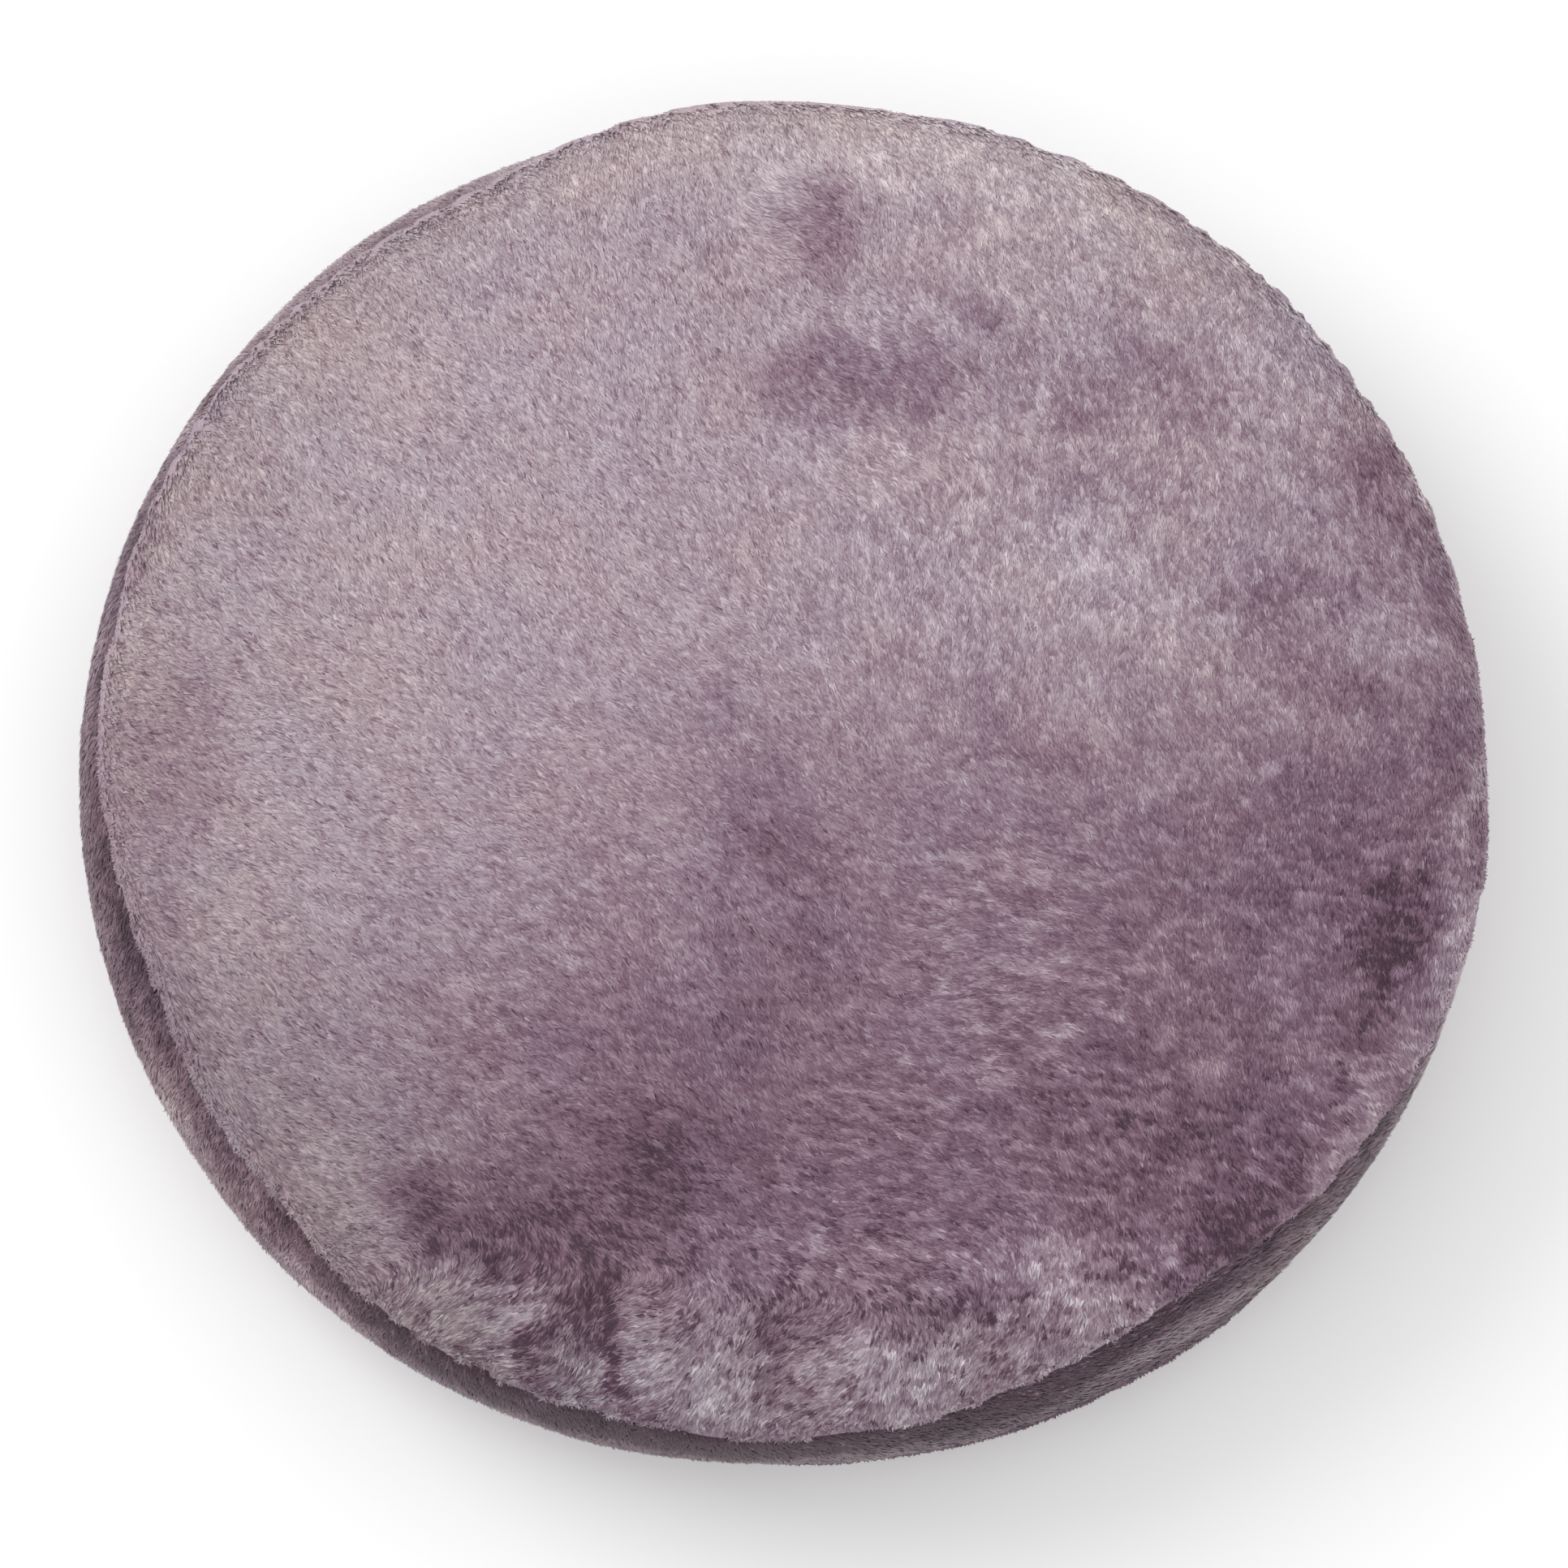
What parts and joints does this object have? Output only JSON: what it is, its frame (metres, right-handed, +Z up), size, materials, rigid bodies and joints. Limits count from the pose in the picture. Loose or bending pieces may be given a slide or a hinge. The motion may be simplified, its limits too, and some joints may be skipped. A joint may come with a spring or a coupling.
{
  "type": "round throw pillow",
  "caption": "Round plush throw pillow with a boxed edge: a low crown on top, a side band between two drawn-in seams, and a flat back.",
  "frame": {"origin": "middle of the flat back, on the surface that the pillow lies on", "axes": "+Z up through the crown, -Y towards the side that is nearest in the picture, +X to its right"},
  "size_m": [0.3996, 0.3916, 0.0913],
  "materials": {
    "plush": "matte"
  },
  "bodies": {
    "root": {"cushion": "plush"}
  },
  "joints": []
}
